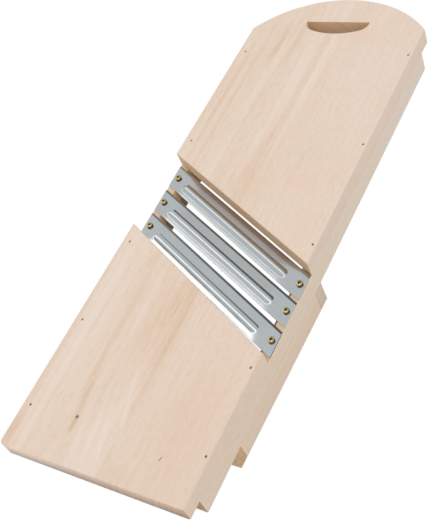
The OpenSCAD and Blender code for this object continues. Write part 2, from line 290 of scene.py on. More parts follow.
def noise_of(tree, socket, value, detail, roughness):
    step = tree.nodes.new("ShaderNodeTexNoise")
    step.noise_dimensions = "1D" if socket == "W" else "3D"
    put(tree, value, step.inputs[socket])
    step.inputs["Scale"].default_value = 1.0
    step.inputs["Detail"].default_value = detail
    step.inputs["Roughness"].default_value = roughness
    return step.outputs["Fac"]


def noise(tree, vector, per_metre, detail=2.0, roughness=0.5):
    """Noise with so many features per metre along X, Y and Z."""
    return noise_of(tree, "Vector", stretch(tree, vector, per_metre), detail, roughness)


def noise_along(tree, value, detail=2.0, roughness=0.5):
    """Noise of one number, for bands that follow it."""
    return noise_of(tree, "W", value, detail, roughness)


def swing(tree, value, reach):
    """Noise that swings about nothing, by the reach."""
    return calc(tree, "MULTIPLY", calc(tree, "SUBTRACT", value, NOISE_MIDDLE), reach)


def rise(tree, value, low, high, to_low=0.0, to_high=1.0):
    """Smooth step of a value from one level to another."""
    step = tree.nodes.new("ShaderNodeMapRange")
    step.interpolation_type = "SMOOTHSTEP"
    for given, socket in zip((value, low, high, to_low, to_high), step.inputs):
        put(tree, given, socket)
    return step.outputs[0]


def fall(tree, value, low, high):
    """Smooth step from one down to nothing."""
    return rise(tree, value, low, high, 1.0, 0.0)


def mix(tree, factor, a, b, mode="MIX"):
    step = tree.nodes.new("ShaderNodeMix")
    step.data_type = "RGBA"
    step.blend_type = mode
    step.clamp_result = False
    put(tree, factor, step.inputs[MIX_FACTOR])
    put(tree, a, step.inputs[MIX_A])
    put(tree, b, step.inputs[MIX_B])
    return step.outputs[MIX_OUT]


def tinted(tree, colour, tint):
    return mix(tree, 1.0, colour, tint, "MULTIPLY")


def rgb(*channels):
    return (*channels, 1.0)


# %% [markdown]
# ## Groups and materials
#
# An effect that several materials share is a node group: a tree with named inputs and outputs,
# built once and placed with other values each time. It hands out colours, masks and numbers, and
# the shader stays in the material. Patterns sit on object coordinates, which are metres in the
# frame.

# %% Helpers: groups and materials
def new_group(name, takes, gives):
    """Shader node group with named inputs (name, kind, default) and outputs (name, kind)."""
    group = bpy.data.node_groups.new(name, "ShaderNodeTree")
    for label, kind, value in takes:
        socket = group.interface.new_socket(label, in_out="INPUT",
                                            socket_type=f"NodeSocket{kind}")
        socket.default_value = value
    for label, kind in gives:
        group.interface.new_socket(label, in_out="OUTPUT", socket_type=f"NodeSocket{kind}")
    entry = group.nodes.new("NodeGroupInput").outputs
    result = group.nodes.new("NodeGroupOutput").inputs
    return group, entry, result


def use(tree, group, **given):
    """Place a group in a tree. Underscores in the given names stand for spaces."""
    step = tree.nodes.new("ShaderNodeGroup")
    step.node_tree = group
    for name, value in given.items():
        put(tree, value, step.inputs[name.replace("_", " ")])
    return step.outputs


def start_material(name):
    """New material with its tree, its Principled shader and its object coordinates."""
    material = bpy.data.materials.new(name)
    material.use_nodes = True
    shader = material.node_tree.nodes["Principled BSDF"]
    place = material.node_tree.nodes.new("ShaderNodeTexCoord")
    return material, material.node_tree, shader, place.outputs


# %% [markdown]
# ## Beech as a solid
#
# Wood is a solid pattern: growth rings are tubes round the heart of the tree, and a board is a
# slice through them. So the rings are drawn in three dimensions, as bands of distance from a
# heart line that lies below or beside the board and leans a little. A planed face then shows long
# streaks, and a sawn end shows arcs, with no seam at the edge between them. Fine fibre lines and
# the short dark pores that mark beech are noise stretched along the grain. Steamed beech also
# blushes: here and there a cloud is pinker. The grain of the pattern runs along Y.

# %% Group: beech
NEUTRAL, PLAIN = rgb(0.5, 0.5, 0.5), rgb(1.0, 1.0, 1.0)
PINKER = rgb(1.006, 0.984, 0.978)
# Features of the noise per metre along X, Y and Z
WANDER, DRIFT = (22, 4, 22), (30, 6, 30)
LINES, FIBRES = (650, 20, 650), (1100, 90, 1100)
MOTTLE, PORES = (480, 170, 480), (1000, 160, 1000)
BLUSH, BLUSH_SHIFT = (60, 32, 60), (5.0, 3.0, 1.0)
WANDER_ACROSS, WANDER_DEEP = 12 * MM, 6 * MM
# Levels of the noise between which a mask rises
RING_FROM, RING_TO = 0.32, 0.74
PORE_FROM, PORE_TO = 0.60, 0.74
BLUSH_FROM, BLUSH_TO = 0.48, 0.72
# Share of each pattern in the way from pale to dark wood
LINE_SHARE, FIBRE_SHARE, MOTTLE_SHARE, DRIFT_SHARE = 0.36, 0.35, 0.62, 0.30
PORE_SHARE, DARK_SHARE = 0.28, 0.10
FIBRE_DEPTH, PORE_DEPTH = 0.01 * MM, 0.01 * MM
group_beech, take, give = new_group("beech", [
    ("Vector", "Vector", (0, 0, 0)),
    ("Heart X", "Float", 0.0),
    ("Heart Z", "Float", -0.06),
    ("Lean", "Float", 0.0),
    ("Ring Width", "Float", 0.003),
    ("Figure", "Float", 0.5),
    ("Pale", "Color", NEUTRAL),
    ("Dark", "Color", NEUTRAL),
], [("Color", "Color"), ("Height", "Float"), ("Ring", "Float"), ("Line", "Float")])

tree, inside = group_beech, take["Vector"]
place = parts(tree, inside)
wander = noise(tree, inside, WANDER, detail=3.0, roughness=0.55)
across = calc(tree, "SUBTRACT", place["X"], take["Heart X"])
across = calc(tree, "SUBTRACT", across, calc(tree, "MULTIPLY", place["Y"], take["Lean"]))
across = calc(tree, "ADD", across, swing(tree, wander, WANDER_ACROSS))
depth = calc(tree, "SUBTRACT", place["Z"], take["Heart Z"])
depth = calc(tree, "ADD", depth, swing(tree, wander, WANDER_DEEP))
radius = calc(tree, "SQRT", squares(tree, across, depth))
rings = calc(tree, "DIVIDE", radius, take["Ring Width"])
bands = rise(tree, noise_along(tree, rings, detail=3.0, roughness=0.65), RING_FROM, RING_TO)
lines = noise(tree, inside, LINES, roughness=0.6)
fibres = noise(tree, inside, FIBRES, roughness=0.6)
mottle = noise(tree, inside, MOTTLE, roughness=0.6)
pores = rise(tree, noise(tree, inside, PORES, detail=1.0), PORE_FROM, PORE_TO)
drift = noise(tree, inside, DRIFT)
blush = noise(tree, shift(tree, inside, BLUSH_SHIFT), BLUSH, detail=3.0, roughness=0.6)

amount = calc(tree, "MULTIPLY", bands, take["Figure"])
for part, share in ((lines, LINE_SHARE), (fibres, FIBRE_SHARE), (mottle, MOTTLE_SHARE),
                    (drift, DRIFT_SHARE)):
    amount = calc(tree, "ADD", amount, swing(tree, part, share))
amount = calc(tree, "ADD", amount, calc(tree, "MULTIPLY", pores, PORE_SHARE))
amount = calc(tree, "ADD", amount, DARK_SHARE, clamp=True)
wood = mix(tree, amount, take["Pale"], take["Dark"])
cloud = mix(tree, rise(tree, blush, BLUSH_FROM, BLUSH_TO), PLAIN, PINKER)
tree.links.new(tinted(tree, wood, cloud), give["Color"])
fibre_height = calc(tree, "MULTIPLY", fibres, FIBRE_DEPTH)
pore_depth = calc(tree, "MULTIPLY", pores, PORE_DEPTH)
tree.links.new(calc(tree, "SUBTRACT", fibre_height, pore_depth), give["Height"])
tree.links.new(bands, give["Ring"])
tree.links.new(lines, give["Line"])
print(tree.name, len(tree.nodes), "nodes")

# %% [markdown]
# ## End grain
#
# Where the saw cuts across the fibres, the open pores drink in light: end grain is darker and
# browner than a planed face, and the rings stand out. A face is end grain where its normal points
# along the fibres, so the mask is the dot product of the two.

# %% Group: end grain
END_FROM, END_TO = 0.45, 0.80
SPECKLE = (1500, 1500, 1500)
RING_SHADE, SPECKLE_SHADE = 0.35, 0.5
group_end, take, give = new_group("end_grain", [
    ("Color", "Color", NEUTRAL),
    ("Normal", "Vector", (0, 0, 1)),
    ("Along", "Vector", (0, 1, 0)),
    ("Vector", "Vector", (0, 0, 0)),
    ("Ring", "Float", 0.0),
    ("Tint", "Color", NEUTRAL),
], [("Color", "Color")])

tree = group_end
facing = vector_calc(tree, "DOT_PRODUCT", take["Normal"], take["Along"])
mask = rise(tree, calc(tree, "ABSOLUTE", facing), END_FROM, END_TO)
speckle = noise(tree, take["Vector"], SPECKLE, roughness=0.7)
shade = calc(tree, "ADD", calc(tree, "MULTIPLY", take["Ring"], RING_SHADE),
             swing(tree, speckle, SPECKLE_SHADE), clamp=True)
sawn = tinted(tree, take["Color"], take["Tint"])
sawn = mix(tree, shade, sawn, tinted(tree, sawn, take["Tint"]))
tree.links.new(mix(tree, mask, take["Color"], sawn), give["Color"])
print(tree.name, len(tree.nodes), "nodes")

# %% [markdown]
# ## Single marks in the grain
#
# Noise gives wood its character, but not one particular streak or knot. A mark is a soft spot
# that is long in the grain: its strength falls off like a bell along and across. The slant leans
# it along the board, the tilt leans it across. The same small group draws brown heart streaks,
# pale sap lines, the knot, the specks and a painted shadow at the narrow throat.

# %% Group: grain mark
group_mark, take, give = new_group("grain_mark", [
    ("Vector", "Vector", (0, 0, 0)),
    ("X", "Float", 0.0),
    ("Y", "Float", 0.0),
    ("Half Width", "Float", 0.002),
    ("Half Length", "Float", 0.05),
    ("Slant", "Float", 0.0),
    ("Tilt", "Float", 0.0),
], [("Mask", "Float")])

tree = group_mark
place = parts(tree, take["Vector"])
off_x = calc(tree, "SUBTRACT", place["X"], take["X"])
off_y = calc(tree, "SUBTRACT", place["Y"], take["Y"])
across = calc(tree, "SUBTRACT", off_x, calc(tree, "MULTIPLY", off_y, take["Slant"]))
along = calc(tree, "SUBTRACT", off_y, calc(tree, "MULTIPLY", off_x, take["Tilt"]))
across = calc(tree, "DIVIDE", across, take["Half Width"])
along = calc(tree, "DIVIDE", along, take["Half Length"])
tree.links.new(bell(tree, squares(tree, across, along)), give["Mask"])
print(tree.name, len(tree.nodes), "nodes")

# %% [markdown]
# ## Raw wood
#
# Nothing on this board is varnished. So the wood has no coat and only a weak gloss, the dark
# rings dull it a little, and the bump is that of planed fibres and open pores, about a hundredth
# of a millimetre.

# %% Surface of raw wood
WOOD_SPECULAR = 0.25
WOOD_SMOOTH, WOOD_ROUGH = 0.52, 0.68


def bump(tree, height, shader):
    """Heights are in metres."""
    step = tree.nodes.new("ShaderNodeBump")
    step.inputs["Strength"].default_value = 1.0
    step.inputs["Distance"].default_value = 1.0
    put(tree, height, step.inputs["Height"])
    tree.links.new(step.outputs["Normal"], shader.inputs["Normal"])


def raw_wood(tree, shader, ring, height):
    shader.inputs["Specular IOR Level"].default_value = WOOD_SPECULAR
    roughness = rise(tree, ring, 0.0, 1.0, WOOD_SMOOTH, WOOD_ROUGH)
    tree.links.new(roughness, shader.inputs["Roughness"])
    bump(tree, height, shader)


print("raw wood, roughness", WOOD_SMOOTH, "to", WOOD_ROUGH)

# %% [markdown]
# ## The boards' two staves
#
# Both boards are cut from one panel, which was glued up from two staves. So the figure runs on
# across the blade bay, and it changes at the glue line, a little right of the middle. The left
# stave has wide streaks. The right stave is even and a little pinker.

# %% Material: board beech, the staves
GLUE_X, GLUE_SOFT = 10.5 * MM, 0.1 * MM
LEFT_SHIFT, RIGHT_SHIFT = (0.31, 0.0, 0.0), (0.0, 0.7, 0.0)
LEFT_WOOD = dict(Heart_X=0.265, Heart_Z=-0.015, Lean=-0.03, Ring_Width=0.0065, Figure=0.30,
                 Pale=rgb(0.835, 0.695, 0.580), Dark=rgb(0.70, 0.505, 0.36))
RIGHT_WOOD = dict(Heart_X=0.16, Heart_Z=0.02, Lean=0.02, Ring_Width=0.0042, Figure=0.14,
                  Pale=rgb(0.825, 0.675, 0.560), Dark=rgb(0.695, 0.510, 0.375))
board_beech, tree, shader, place = start_material("board_beech")
at, spot = place["Object"], parts(tree, place["Object"])
left_stave = use(tree, group_beech, Vector=shift(tree, at, LEFT_SHIFT), **LEFT_WOOD)
right_stave = use(tree, group_beech, Vector=shift(tree, at, RIGHT_SHIFT), **RIGHT_WOOD)
right_side = rise(tree, spot["X"], GLUE_X - GLUE_SOFT, GLUE_X + GLUE_SOFT)
colour = mix(tree, right_side, left_stave["Color"], right_stave["Color"])
ring = rise(tree, right_side, 0.0, 1.0, left_stave["Ring"], right_stave["Ring"])
height = rise(tree, right_side, 0.0, 1.0, left_stave["Height"], right_stave["Height"])
print(board_beech.name, "glue line at X in mm", GLUE_X / MM)

# %% [markdown]
# ## Marks that the eye finds first
#
# The left stave has brown lines and pale lines, and a pin knot near the lower end. The right
# stave has pink clouds and one speck. Most marks are made ragged by noise that is long in the
# grain, and the brown ones are combed by the wood's own lines. The knot and the speck stay clean.

# %% Material: board beech, the marks
BROWN, TAN, PALE, PINK, KNOT = "brown", "tan", "pale", "pink", "knot"
MARK_TINTS = {BROWN: rgb(0.69, 0.465, 0.285), TAN: rgb(0.69, 0.465, 0.285),
              PALE: rgb(0.86, 0.735, 0.645), PINK: rgb(0.83, 0.585, 0.465),
              KNOT: rgb(0.10, 0.045, 0.02)}
RAGGED, RAGGED_WIDTH = (260, 14, 260), 3.0 * MM
COMB_FROM, COMB_TO = 0.36, 0.64
COMB_WEAK, COMB_STRONG = 0.60, 1.40
# Kind, X, Y, half width and half length in mm, slant, strength
BOARD_MARKS = [
    (PALE, 62, 165, 28, 75, 0.0, 0.25),
    (PALE, -72, -140, 16, 90, 0.0, 0.40),
    (PALE, -10, -245, 16, 30, 0.0, 0.25),
    (TAN, 70, -225, 50, 75, 0.0, 0.18),
    (TAN, -84, 130, 7, 60, 0.0, 0.15),
    (BROWN, -50.5, 203, 3.4, 30, 0.02, 0.50),
    (BROWN, -33, 206, 3.4, 32, 0.03, 0.32),
    (BROWN, -43, 222, 2.4, 26, 0.02, 0.28),
    (BROWN, -66, 120, 2.0, 80, 0.0, 0.32),
    (BROWN, -76.5, 115, 2.6, 75, 0.0, 0.32),
    (BROWN, -39, 105, 2.2, 55, 0.0, 0.20),
    (BROWN, -5, 80, 2.0, 30, 0.03, 0.32),
    (BROWN, 9, 58, 2.2, 60, 0.0, 0.28),
    (BROWN, -6, 22, 14, 40, 0.0, 0.28),
    (BROWN, -6, -120, 15, 50, 0.0, 0.42),
    (BROWN, 5, -120, 6, 60, 0.0, 0.20),
    (BROWN, -43, -140, 3.0, 55, 0.0, 0.30),
    (BROWN, -67.5, -150, 2.0, 90, 0.0, 0.22),
    (BROWN, -47, -95, 2.6, 34, 0.0, 0.20),
    (BROWN, -38.5, -205, 3.2, 34, -0.13, 0.42),
    (BROWN, 8.5, -160, 2.2, 45, 0.0, 0.24),
    (BROWN, -51, -75, 3.0, 6, 0.0, 0.25),
    (BROWN, -34.6, -236, 1.7, 8, 0.0, 0.75),
    (KNOT, -34.7, -230, 1.25, 1.5, 0.0, 1.0),
    (KNOT, 52.6, -240.7, 0.5, 1.8, 0.2, 0.8),
    (BROWN, -88, -256, 7, 14, 0.0, 0.38),
    (BROWN, 24, -264, 14, 9, 0.0, 0.16),
    (PALE, 4, 165, 2.0, 55, 0.0, 0.70),
    (PALE, -12, 165, 5.0, 48, 0.0, 0.50),
    (PALE, -4, 256, 8.0, 16, 0.0, 0.45),
    (PALE, -31, -115, 3.0, 60, -0.03, 0.45),
    (PALE, -12.5, -243, 2.0, 36, -0.18, 0.65),
    (PALE, -2.5, -241, 2.2, 34, -0.26, 0.70),
    (PALE, 4, -212, 2.0, 28, -0.28, 0.70),
    (PALE, -23, -250, 2.4, 30, -0.15, 0.55),
    (PALE, -72, -252, 3.0, 20, 0.0, 0.45),
    (PINK, 32, 225, 14, 11, 0.0, 0.50),
    (PINK, 15, 167, 4.0, 14, 0.05, 0.50),
    (PINK, 22, 128, 4.0, 9, 0.0, 0.40),
    (PINK, 48, 37, 14, 11, 0.0, 0.50),
    (PINK, 74, 46, 6.0, 12, 0.0, 0.40),
    (PINK, 71, -8, 8.0, 22, 0.0, 0.40),
]
ragged = swing(tree, noise(tree, at, RAGGED, detail=3.0, roughness=0.6), RAGGED_WIDTH)
ragged_place = join(tree, calc(tree, "ADD", spot["X"], ragged), spot["Y"], spot["Z"])
combed = rise(tree, left_stave["Line"], COMB_FROM, COMB_TO, COMB_WEAK, COMB_STRONG)
for kind, x, y, half_w, half_l, slant, strength in BOARD_MARKS:
    mark = use(tree, group_mark, Vector=at if kind == KNOT else ragged_place, X=x * MM, Y=y * MM,
               Half_Width=half_w * MM, Half_Length=half_l * MM, Slant=slant)["Mask"]
    mark = calc(tree, "MULTIPLY", mark, strength)
    if kind == BROWN:
        mark = calc(tree, "MULTIPLY", mark, combed, clamp=True)
    colour = mix(tree, mark, colour, MARK_TINTS[kind])
print(board_beech.name, len(BOARD_MARKS), "marks")

# %% [markdown]
# ## The boards' ends
#
# All ends are end grain. The low end is paler at the left, greyed in the middle and browned at
# the right. Its upper edge is painted paler, a painted highlight in place of a rounded edge, and
# it is painted darker towards the bottom, as painted shade. The arc wall of the grip slot keeps
# the colour of the face instead of the darker end grain, a painted highlight in place of a
# rounded rim.

# %% Material: board beech, the ends
END_TINT = rgb(0.88, 0.76, 0.59)
PALED_TINT, PALED_X = rgb(0.95, 0.92, 0.91), -75 * MM
GREYED_TINT, GREYED_X = rgb(0.79, 0.75, 0.73), (5 * MM, 55 * MM)
BROWNED_TINT, BROWNED_X = rgb(0.72, 0.63, 0.54), 90 * MM
# Painted highlight along the low end's upper edge, and painted shade towards its bottom
PAINTED_EDGE_HIGHLIGHT, PAINTED_LOW_SHADE = rgb(1.18, 1.18, 1.18), rgb(0.74, 0.74, 0.745)
LOW_END_DEPTH, LOW_END_SOFT = 2 * MM, 2 * MM
SLOT_SOFT = 1 * MM
# The grip slot's arc wall keeps the face's colour: a painted highlight
PAINTED_ARC_FROM, PAINTED_ARC_TO = 0.1, 0.4
low_end_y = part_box("lower_board")[0].y + LOW_END_DEPTH
low_end = fall(tree, spot["Y"], low_end_y, low_end_y + LOW_END_SOFT)
low_tint = mix(tree, rise(tree, spot["X"], PALED_X, GREYED_X[0]), PALED_TINT, GREYED_TINT)
low_tint = mix(tree, rise(tree, spot["X"], GREYED_X[1], BROWNED_X), low_tint, BROWNED_TINT)
# Painted highlight at the top of the low end, painted shade at its bottom
low_painted_light = mix(tree, rise(tree, spot["Z"], board_low.z, TOP_Z), PAINTED_LOW_SHADE, PAINTED_EDGE_HIGHLIGHT)
tint = mix(tree, low_end, END_TINT, tinted(tree, low_tint, low_painted_light))
# The slot's arc wall, which faces the head, is left untinted as a painted highlight
in_slot = calc(tree, "MULTIPLY", rise(tree, spot["Y"], SLOT_Y[0], SLOT_Y[0] + SLOT_SOFT),
               fall(tree, spot["Y"], SLOT_Y[1] - SLOT_SOFT, SLOT_Y[1]))
to_head = rise(tree, parts(tree, place["Normal"])["Y"], PAINTED_ARC_FROM, PAINTED_ARC_TO)
tint = mix(tree, calc(tree, "MULTIPLY", in_slot, to_head), tint, PLAIN)
sawn = use(tree, group_end, Color=colour, Normal=place["Normal"], Along=(0, 1, 0), Vector=at,
           Ring=ring, Tint=tint)
tree.links.new(sawn["Color"], shader.inputs["Base Color"])
raw_wood(tree, shader, ring, height)
print(board_beech.name, len(tree.nodes), "nodes")

# %% [markdown]
# ## Rails, feet and cross pieces
#
# The sticks are the same wood, ripped from other planks. The rails are greyer, and bleached
# towards the head, and the foot strips are more yellow. The inner sides are painted browner, as
# painted shade: a face is an inner side where its normal points to the middle of the board. The
# rails' upper sides show only between the blades, and there they are painted darker, as painted
# shade, with a painted shadow darkest at the narrow throat. The crossbar lies across, so its
# fibres run along X and its sawn ends look out of the sides: the pattern is turned a quarter with
# a Mapping node.

# %% Materials: sticks
QUARTER = math.radians(90)
STICK_LEAN = 0.02
# Painted shade: browner inner sides, and darker upper sides between the blades
PAINTED_INNER_SHADE, PAINTED_GAP_SHADE = rgb(0.84, 0.60, 0.36), rgb(0.92, 0.80, 0.66)
INNER_FROM, INNER_TO = -60 * MM, -30 * MM
UPPER_FROM, UPPER_TO = 0.85, 0.95
# Painted shadow on the rails' tops at the narrow throat
PAINTED_THROAT_SHADOW = rgb(0.16, 0.10, 0.045)
THROAT = dict(X=84.5 * MM, Y=-43.6 * MM, Half_Width=9 * MM, Half_Length=1.6 * MM, Tilt=-0.51)
YELLOWED, YELLOWED_Y = rgb(1.0, 0.985, 0.945), -120 * MM
BLEACHED, BLEACHED_Y = rgb(1.04, 1.055, 1.07), 150 * MM


def stick_beech(name, offset, pale, dark, heart, ring_width, figure, end_tint=END_TINT,
                crosswise=False, bleached=False):
    material, tree, shader, place = start_material(name)
    spot, normal = parts(tree, place["Object"]), parts(tree, place["Normal"])
    turned = tree.nodes.new("ShaderNodeMapping")
    tree.links.new(place["Object"], turned.inputs["Vector"])
    turned.inputs["Location"].default_value = offset
    turned.inputs["Rotation"].default_value = (0, 0, QUARTER if crosswise else 0)
    wood = use(tree, group_beech, Vector=turned.outputs[0], Heart_X=heart[0], Heart_Z=heart[1],
               Lean=STICK_LEAN, Ring_Width=ring_width, Figure=figure, Pale=pale, Dark=dark)
    colour = wood["Color"]
    if bleached:
        along = rise(tree, spot["Y"], YELLOWED_Y, BLEACHED_Y)
        colour = tinted(tree, colour, mix(tree, along, YELLOWED, BLEACHED))
    # Inner sides painted browner, as painted shade
    inward = calc(tree, "MULTIPLY", spot["X"], normal["X"])
    inner = fall(tree, inward, INNER_FROM, INNER_TO)
    colour = mix(tree, inner, colour, tinted(tree, colour, PAINTED_INNER_SHADE))
    # Upper sides painted darker as painted shade, and darkest at the throat as painted shadow
    upper = rise(tree, normal["Z"], UPPER_FROM, UPPER_TO)
    colour = mix(tree, upper, colour, tinted(tree, colour, PAINTED_GAP_SHADE))
    throat = use(tree, group_mark, Vector=place["Object"], **THROAT)["Mask"]
    colour = mix(tree, calc(tree, "MULTIPLY", throat, upper), colour, PAINTED_THROAT_SHADOW)
    sawn = use(tree, group_end, Color=colour, Normal=place["Normal"], Vector=place["Object"],
               Along=(1, 0, 0) if crosswise else (0, 1, 0), Ring=wood["Ring"], Tint=end_tint)
    tree.links.new(sawn["Color"], shader.inputs["Base Color"])
    raw_wood(tree, shader, wood["Ring"], wood["Height"])
    print(name, len(tree.nodes), "nodes")
    return material


rail_beech = stick_beech(
    "rail_beech", offset=(0.0, 1.3, 0.0), pale=rgb(0.815, 0.69, 0.575), dark=rgb(0.66, 0.515, 0.39),
    heart=(0.13, -0.02), ring_width=0.0045, figure=0.16, end_tint=rgb(0.69, 0.50, 0.345),
    bleached=True)
foot_beech = stick_beech(
    "foot_beech", offset=(0.0, 2.1, 0.0), pale=rgb(0.825, 0.68, 0.535), dark=rgb(0.66, 0.50, 0.35),
    heart=(0.15, -0.04), ring_width=0.0060, figure=0.16)
block_beech = stick_beech(
    "block_beech", offset=(0.0, 3.4, 0.0), pale=rgb(0.735, 0.60, 0.49), dark=rgb(0.60, 0.46, 0.345),
    heart=(0.14, -0.05), ring_width=0.0060, figure=0.16)
cross_beech = stick_beech(
    "cross_beech", offset=(0.0, 0.0, 0.4), pale=rgb(0.74, 0.57, 0.405),
    dark=rgb(0.54, 0.375, 0.235), heart=(-0.19, 0.43), ring_width=0.0024, figure=0.5,
    end_tint=rgb(0.92, 0.80, 0.66), crosswise=True)

# %% [markdown]
# ## Rolled sheet
#
# The blades are bright rolled strip, almost a mirror. Pressing the bead leaves the sheet bowed:
# in front of the bead it leans towards the cutting edge, behind it towards the rear edge, and the
# bow fades out past the bead's ends. A few degrees are enough to change what it mirrors, so the
# front shows the board's end and the rear shows the lamp. The press also leaves small wrinkles
# along the bead's rear foot, and the rolls leave faint streaks. The bow and the wrinkles stop at
# the cutting edge, which is ground flat afterwards. The lean is a plain function of place, so the
# group gives it as a number.

# %% Group: rolled sheet
STREAKS, SMEARS = (12, 500, 500), (40, 160, 160)
RIPPLE, DENTS = (90, 30, 30), (14, 25, 25)
STREAK_FROM, STREAK_TO = 0.35, 0.75
SMEAR_FROM, SMEAR_TO = 0.3, 0.7
STEEL_SMOOTH, STEEL_ROUGH = 0.14, 0.18
BEAD_INSET = 2.45 * MM
BEAD_HALF_LENGTH = 78 * MM
BOW_INSIDE, BOW_OUTSIDE = 6 * MM, 10 * MM
WRINKLE_INSET, WRINKLE_WIDTH = 6.7 * MM, 1.2 * MM
WRINKLE_LEAN, DENT_LEAN = 0.12, 0.012
GROUND_FROM, GROUND_SOFT = 8.95 * MM, 0.3 * MM
# Where a painted brown reflection of the board's end lies on the front of a blade
REFLECTION_FROM, REFLECTION_SOFT = 1.5 * MM, 2.2 * MM
REFLECTION_HALF_LENGTH, REFLECTION_FADE = 75 * MM, 15 * MM
group_sheet, take, give = new_group("rolled_sheet", [
    ("Vector", "Vector", (0, 0, 0)),
    ("Bow", "Float", 8.0),
    ("Rear Bow", "Float", 8.0),
], [("Roughness", "Float"), ("Lean", "Float"), ("Shade", "Float"), ("Stain", "Float"),
    ("Rolled", "Float")])

tree, inside = group_sheet, take["Vector"]
own = parts(tree, inside)
from_middle = calc(tree, "ABSOLUTE", own["X"])
from_bead = calc(tree, "ADD", own["Y"], BEAD_INSET)
front = calc(tree, "MULTIPLY", calc(tree, "MAXIMUM", from_bead, 0.0), take["Bow"])
rear = calc(tree, "MULTIPLY", calc(tree, "MINIMUM", from_bead, 0.0), take["Rear Bow"])
from_foot = calc(tree, "ADD", own["Y"], WRINKLE_INSET)
from_foot = calc(tree, "DIVIDE", from_foot, WRINKLE_WIDTH)
at_foot = bell(tree, calc(tree, "MULTIPLY", from_foot, from_foot))
ripple = swing(tree, noise(tree, inside, RIPPLE, detail=0.0), WRINKLE_LEAN)
dented = swing(tree, noise(tree, inside, DENTS, detail=0.0), DENT_LEAN)
rolled = fall(tree, own["Y"], GROUND_FROM - GROUND_SOFT, GROUND_FROM)
lean = calc(tree, "ADD", front, rear)
lean = calc(tree, "ADD", lean, calc(tree, "MULTIPLY", at_foot, ripple))
lean = calc(tree, "ADD", lean, dented)
pressed = fall(tree, from_middle, BEAD_HALF_LENGTH - BOW_INSIDE, BEAD_HALF_LENGTH + BOW_OUTSIDE)
lean = calc(tree, "MULTIPLY", lean, pressed)
tree.links.new(calc(tree, "MULTIPLY", lean, rolled), give["Lean"])
tree.links.new(rolled, give["Rolled"])
smears = noise(tree, inside, SMEARS, detail=3.0, roughness=0.6)
tree.links.new(rise(tree, smears, SMEAR_FROM, SMEAR_TO, STEEL_SMOOTH, STEEL_ROUGH),
               give["Roughness"])
tree.links.new(rise(tree, noise(tree, inside, STREAKS), STREAK_FROM, STREAK_TO), give["Shade"])
# Mask for the painted reflection of the board's end, in front of the bead
in_front = rise(tree, own["Y"], REFLECTION_FROM, REFLECTION_FROM + REFLECTION_SOFT)
in_middle = fall(tree, from_middle, REFLECTION_HALF_LENGTH - REFLECTION_FADE, REFLECTION_HALF_LENGTH)
tree.links.new(calc(tree, "MULTIPLY", in_front, in_middle), give["Stain"])
print(tree.name, len(tree.nodes), "nodes")

# %% [markdown]
# ## Blade steel
#
# Each blade is drawn in its own frame, which a Mapping node gives, and the material leans the
# normal by the group's number. No two blades came out alike: in front of its bead the upper one
# has a painted brown reflection of the board's end, the middle one a weaker one, and the lower one
# has the softest bead and the strongest bow. A soft bead is drawn by pulling its normals upright.

# %% Materials: blade steel
UPRIGHT = rgb(0, 0, 1)
BRIGHT, STREAKED = rgb(0.61, 0.64, 0.65), rgb(0.59, 0.62, 0.63)
# Painted reflection: the board's end mirrored brown in the front of a blade
BOARD_REFLECTION = rgb(0.80, 0.69, 0.67)
PRESSED = {"upper_blade": dict(bow=8.0, rear_bow=10.5, softness=0.0, reflection=1.0),
           "middle_blade": dict(bow=8.5, rear_bow=9.2, softness=0.5, reflection=0.3),
           "lower_blade": dict(bow=8.0, rear_bow=16.5, softness=1.0, reflection=0.0)}


def blade_steel(node, bow, rear_bow, softness, reflection):
    centre, slant = blade_frame(node)
    material, tree, shader, place = start_material(f"steel_{node}")
    own = tree.nodes.new("ShaderNodeMapping")
    own.inputs["Rotation"].default_value = (0, 0, slant)
    own.inputs["Location"].default_value = -(Matrix.Rotation(slant, 3, "Z") @ centre)
    tree.links.new(place["Object"], own.inputs["Vector"])
    sheet = use(tree, group_sheet, Vector=own.outputs[0], Bow=bow, Rear_Bow=rear_bow)
    to_edge = (math.sin(slant), math.cos(slant), 0)
    lean = vector_calc(tree, "SCALE", to_edge, sheet["Lean"])
    pull = calc(tree, "MULTIPLY", sheet["Rolled"], softness / (1 + softness))
    softened = mix(tree, pull, place["Normal"], UPRIGHT)
    turned = tree.nodes.new("ShaderNodeVectorTransform")
    turned.vector_type = "NORMAL"
    turned.convert_from = "OBJECT"
    turned.convert_to = "WORLD"
    tree.links.new(shift(tree, softened, lean), turned.inputs[0])
    tree.links.new(turned.outputs[0], shader.inputs["Normal"])
    bright = mix(tree, sheet["Shade"], BRIGHT, STREAKED)
    # Painted brown reflection of the board's end, in front of the bead
    reflected = calc(tree, "MULTIPLY", sheet["Stain"], reflection)
    tree.links.new(mix(tree, reflected, bright, tinted(tree, bright, BOARD_REFLECTION)),
                   shader.inputs["Base Color"])
    shader.inputs["Metallic"].default_value = 1.0
    tree.links.new(sheet["Roughness"], shader.inputs["Roughness"])
    return material


blade_steels = {node: blade_steel(node, **press) for node, press in PRESSED.items()}
print([steel.name for steel in blade_steels.values()])

# %% [markdown]
# ## Screws and nails
#
# The blade screws are small pan heads in yellow zinc. Their deep recess is painted almost black,
# as painted shade, and the side of the head is painted dark, as painted shade. The recess is
# found by its place: near the screw's axis and below the crown, so each screw has its own
# material, centred on it. The nails are dark wire, punched just below the wood.

# %% Materials: screws and nails
RECESS_R, RECESS_SOFT = 1.8 * MM, 0.15 * MM
# Depths between which the recess is painted dark, as painted shade
SHADE_DEEP_Z, SHADE_SHALLOW_Z = -0.5 * MM, -0.2 * MM
RIM_FROM, RIM_TO = 2.75 * MM, 2.88 * MM
TARNISH = (500, 500, 500)
TARNISH_FROM, TARNISH_TO = 0.35, 0.7
DULL_FROM, DULL_TO = 0.3, 0.7
ZINC, TARNISHED = rgb(0.74, 0.60, 0.27), rgb(0.60, 0.49, 0.25)
